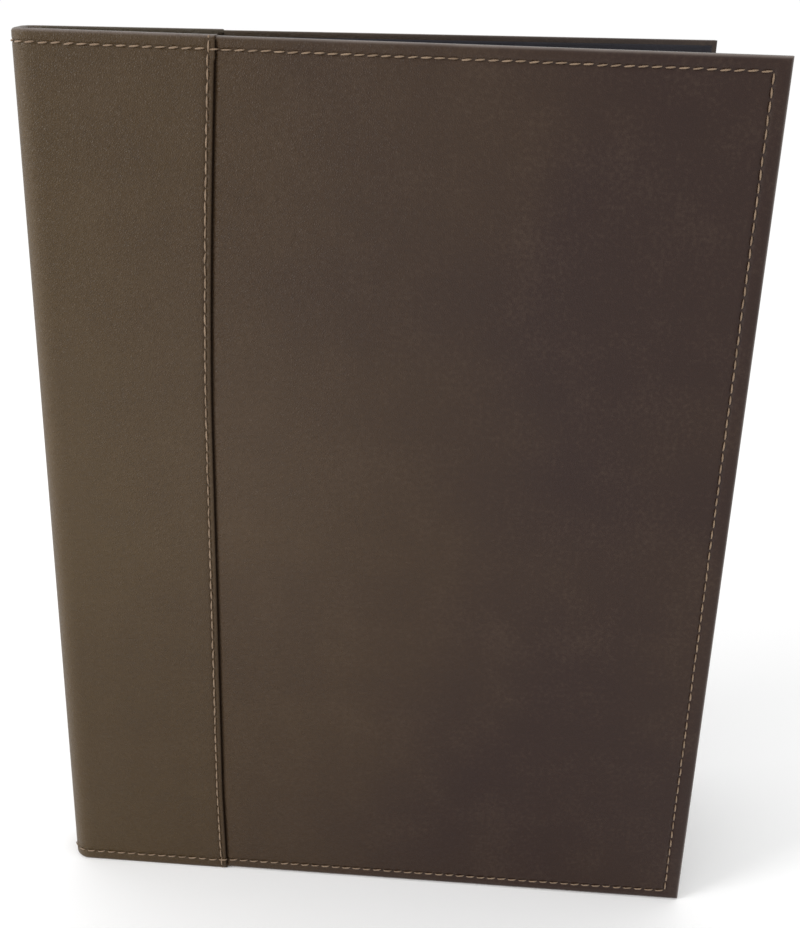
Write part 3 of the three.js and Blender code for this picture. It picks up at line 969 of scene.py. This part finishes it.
# painted highlight along the rims
RIM_HIGHLIGHT = (0.16, 0.13, 0.115)
DULL_BORDER = (0.085, 0.09, 0.075)
# painted shadow along the strip's edge and in the groove beside it
SEAM_SHADOW = (0.012, 0.007, 0.005)


def leather(name, olive, plum, wear_and_sheen):
    """Smooth leather: olive brown by the spine and plum brown away from it, lighter by the spine partly as
    painted light; paler at its folds from wear and painted highlight, a painted highlight along its rims
    and a painted sheen at mid height near the spine, with fine pores and creases, and painted shadow at
    the seam."""
    shader = Shader(name)
    x, depth, z = shader.axes()
    from_spine = shader.maths("ABSOLUTE", x)
    cloud = shader.span(shader.noise(11.0, 2.0, 0.5), 0.3, 0.7, -0.14, 0.14)
    patch = shader.noise(48.0, 4.0, 0.55)
    fine = shader.noise(650.0, 4.0, 0.6)
    pebble = shader.cells(1500.0, shader.warped(500.0, 1.2 * MM))
    dark = tuple(0.5 * part for part in plum)

    # lighter and more olive by the spine: partly the leather's own tone, partly painted light from the key
    # light on the left
    share = shader.plus(shader.span(from_spine, 0.0, 0.8 * WIDTH), cloud)
    colour = shader.mix(shader.span(share, 0.0, 1.0), olive, plum)
    tone = shader.span(patch, 0.25, 0.75, -0.17, 0.17)
    tone = shader.plus(tone, shader.span(fine, 0.25, 0.75, -0.25, 0.25))
    colour = shader.mix(shader.span(tone, 0.0, 0.8, 0.0, 0.4), colour, wear_and_sheen)
    colour = shader.mix(shader.span(tone, 0.0, -0.8, 0.0, 0.5), colour, dark)
    colour = shader.mix(shader.span(pebble, 0.0, 0.15, 0.25, 0.0), colour, dark)

    # paler over the spine and the fold: partly wear, partly painted highlight where they face the key
    # light
    fold_wear_and_highlight = shader.span(from_spine, FLAT_START + 3 * MM, FLAT_START - 4 * MM, 0.0, 0.35)
    colour = shader.mix(fold_wear_and_highlight, colour, wear_and_sheen)
    # a painted highlight along the rims, stronger in some patches
    rim = shader.times(shader.span(depth, 0.02 * MM, 0.5 * MM), shader.span(depth, 4.2 * MM, 1.2 * MM))
    rim_highlight = shader.times(rim, shader.span(patch, 0.3, 0.7, 0.5, 1.0))
    colour = shader.mix(rim_highlight, colour, RIM_HIGHLIGHT)
    colour = shader.mix(shader.span(depth, 3.9 * MM, 4.4 * MM, 0.0, 0.25), colour, DULL_BORDER)
    # painted sheen: paler at mid height near the spine, where a highlight from the sheen light falls
    from_sheen_height = shader.maths("ABSOLUTE", shader.maths("SUBTRACT", z, 0.53 * HEIGHT))
    painted_sheen = shader.times(
        shader.span(from_sheen_height, 0.0, 0.36 * HEIGHT, 0.12, 0.0, "SMOOTHSTEP"),
        shader.span(from_spine, 0.28 * WIDTH, 0.6 * WIDTH, 1.0, 0.0, "SMOOTHSTEP"),
    )
    colour = shader.mix(painted_sheen, colour, wear_and_sheen)
    # painted shadow along the strip's tucked edge and the groove beside it, with less shine there
    seam_shadow = shader.span(depth, -0.1 * MM, -0.7 * MM)
    colour = shader.mix(shader.times(seam_shadow, 0.85), colour, SEAM_SHADOW)

    crease = shader.noise(1.0, 4.0, 0.6, shader.stretched((230.0, 230.0, 620.0)))
    grain = shader.plus(shader.span(pebble, 0.0, 0.4, shape="SMOOTHSTEP"), shader.times(fine, 0.8))
    grain = shader.plus(grain, shader.times(crease, 2.6))
    shader.bump(grain, 0.13 * MM, shader.span(from_spine, 0.35 * WIDTH, 0.8 * WIDTH, 1.0, 0.28))
    roughness = shader.span(patch, 0.3, 0.7, 0.39, 0.46)
    return shader.finish(colour, roughness, shader.span(seam_shadow, 0.0, 1.0, 0.27, 0.05))


def sewing_thread():
    """Tan polyester thread: a little lighter where its twist catches the light."""
    shader = Shader("tan_thread")
    twist = shader.wave(900.0, 0.6, "DIAGONAL")
    tone = shader.noise(60.0, 2.0)
    colour = shader.mix(shader.span(tone, 0.3, 0.7), (0.15, 0.096, 0.055), (0.26, 0.18, 0.115))
    colour = shader.mix(shader.span(twist, 0.0, 0.5, 0.45, 0.0), colour, (0.1, 0.06, 0.034))
    shader.bump(twist, 0.05 * MM, 0.6)
    shader.surface.inputs["Sheen Weight"].default_value = 0.15
    return shader.finish(colour, 0.62, 0.4)


def woven(name, dark, light, threads, sheen):
    """A plain woven cloth of fine threads."""
    shader = Shader(name)
    twill = shader.wave(threads, 0.4, "DIAGONAL", **{"Detail Scale": 40.0})
    weft = shader.wave(1.7 * threads, 0.3, "Z")
    weave = shader.times(shader.span(twill, 0.0, 1.0, 0.35, 1.0), shader.span(weft, 0.0, 1.0, 0.5, 1.0))
    slub = shader.noise(1.0, 3.0, 0.6, shader.stretched((60.0, 60.0, 700.0)))
    tone = shader.times(weave, shader.span(slub, 0.3, 0.7, 0.6, 1.2))
    shader.bump(weave, 0.07 * MM, 0.6)
    shader.surface.inputs["Sheen Weight"].default_value = sheen
    return shader.finish(shader.mix(shader.span(tone, 0.1, 1.1), dark, light), 0.75, 0.25)


def pocket_leather():
    """Thin black leather with a fine pebble."""
    shader = Shader("pocket_leather")
    cloud = shader.noise(40.0, 4.0, 0.6)
    pebble = shader.cells(800.0)
    colour = shader.mix(shader.span(cloud, 0.3, 0.7), (0.010, 0.008, 0.009), (0.022, 0.018, 0.018))
    colour = shader.mix(shader.span(pebble, 0.0, 0.15, 0.5, 0.0), colour, (0.004, 0.003, 0.004))
    grain = shader.plus(shader.span(pebble, 0.0, 0.25), shader.noise(300.0, 3.0))
    shader.bump(grain, 0.08 * MM, 0.7)
    return shader.finish(colour, shader.span(cloud, 0.3, 0.7, 0.42, 0.56), 0.35)


def card_board():
    """Grey pulp board with flecks."""
    shader = Shader("grey_board")
    fleck = shader.noise(900.0, 4.0, 0.7)
    cloud = shader.noise(60.0, 3.0)
    colour = shader.mix(shader.span(cloud, 0.3, 0.7), (0.235, 0.213, 0.178), (0.262, 0.238, 0.198))
    colour = shader.mix(shader.span(fleck, 0.55, 0.75, 0.0, 0.6), colour, (0.12, 0.1, 0.08))
    shader.bump(fleck, 0.05 * MM, 0.5)
    return shader.finish(colour, 0.9, 0.2)


def ruled_paper():
    """Ivory writing paper, ruled in pale blue."""
    shader = Shader("ruled_paper")
    z = shader.axes()[2]
    first_line = PAPER_HIGH[2] - HEADER
    line = shader.maths("PINGPONG", shader.maths("SUBTRACT", first_line, z), RULING / 2)
    ruled = shader.span(line, 0.14 * MM, 0.26 * MM, 0.55, 0.0)
    ruled = shader.times(ruled, shader.span(z, first_line - 0.5 * MM, first_line, 1.0, 0.0))
    fibre = shader.noise(700.0, 4.0, 0.7)
    paper = shader.mix(shader.span(fibre, 0.3, 0.7), (0.80, 0.775, 0.70), (0.87, 0.85, 0.785))
    colour = shader.mix(ruled, paper, (0.3, 0.42, 0.56))
    shader.bump(fibre, 0.02 * MM, 0.4)
    return shader.finish(colour, 0.85, 0.25)


# Scene

def pale_floor():
    shader = Shader("pale_floor")
    tone = shader.noise(3.0, 2.0)
    material = shader.finish(shader.mix(tone, (0.965, 0.965, 0.965), (0.98, 0.98, 0.98)), 0.9, 0.0)
    half = 12.0
    steps = np.linspace(-half, half, 9)
    x, y = np.meshgrid(steps, steps)
    floor = make_object("floor", triples(x, y, 0.0), grid_faces(9, 9), material)


def area_light(name, place, size, power):
    """A soft light aimed at the middle of the case."""
    light = bpy.data.lights.new(name, "AREA")
    light.shape = "RECTANGLE"
    light.size, light.size_y = size
    light.energy = power
    lamp = new_object(name, light)
    lamp.location = place
    lamp.visible_camera = False
    aim = Vector((0, 0, HEIGHT / 2)) - Vector(place)
    lamp.rotation_euler = aim.to_track_quat("-Z", "Y").to_euler()


def studio_light():
    world = bpy.data.worlds.new("studio")
    world.use_nodes = True
    background = world.node_tree.nodes["Background"].inputs
    background["Color"].default_value = (1, 1, 1, 1)
    background["Strength"].default_value = 1.04
    bpy.context.scene.world = world
    area_light("key", (-1.35, -0.62, 0.75), (0.5, 0.8), 12.5)
    area_light("sheen", (-0.20, -0.55, 0.05), (0.3, 0.08), 0.2)


def camera():
    """A camera slightly above the top edge, nearly square to the front cover."""
    pitch, yaw, roll = (math.radians(angle) for angle in (21.83, -3.45, 1.80))
    level = Vector((math.sin(yaw), math.cos(yaw), 0))
    forward = math.cos(pitch) * level - math.sin(pitch) * Vector((0, 0, 1))
    right = forward.cross(Vector((0, 0, 1))).normalized()
    axes = Matrix((right, right.cross(forward), -forward)).transposed().to_4x4()
    local = axes @ Matrix.Rotation(roll, 4, "Z")
    local.translation = Vector((0.4743, -1.2629, 1.0705)) * HEIGHT
    lens = bpy.data.cameras.new("camera")
    lens.sensor_width = 36
    lens.lens = 48.57
    lens.clip_start, lens.clip_end = 0.01, 50
    shot = new_object("camera", lens)
    shot.matrix_world = cover_matrix(FRONT) @ local
    bpy.context.scene.camera = shot


def paint(node, material):
    """Gives a CAD piece that keeps its shape its material."""
    materials = frame["nodes"][node].data.materials
    materials.clear()
    materials.append(material)


def build():
    panel = leather("panel_leather", *PANEL_COLOURS)
    strip = leather("strip_leather", *STRIP_COLOURS)
    tan = sewing_thread()
    navy = woven("navy_lining", (0.007, 0.0065, 0.009), (0.032, 0.03, 0.04), 1500.0, 0.1)
    black = pocket_leather()
    grey = card_board()
    for side in (FRONT, BACK):
        leather_panel(side, panel)
        leather_strip(side, strip)
        lining(side, navy)
        cover_stitches(side, tan)
        paint(f"{COVER_NAME[side]}_board", grey)
    paint("spine_board", grey)
    sewn_pocket("document_pocket", DOCUMENT, FRONT, black, tan)
    for number, pocket in enumerate(CARDS, 1):
        sewn_pocket("card_pocket", pocket, FRONT, black, tan, f"_{number}")
    sewn_pocket("pad_pocket", PAD_HOLDER, BACK, black, tan)
    pen_loop(woven("elastic", (0.004, 0.004, 0.005), (0.016, 0.016, 0.018), 1100.0, 0.2))
    backing_board(grey)
    paper_block(ruled_paper())
    binding_tape(woven("binding_tape", (0.026, 0.016, 0.011), (0.055, 0.035, 0.025), 1600.0, 0.1))
    pale_floor()
    studio_light()
    camera()
    bpy.context.scene.view_settings.view_transform = "Standard"


build()
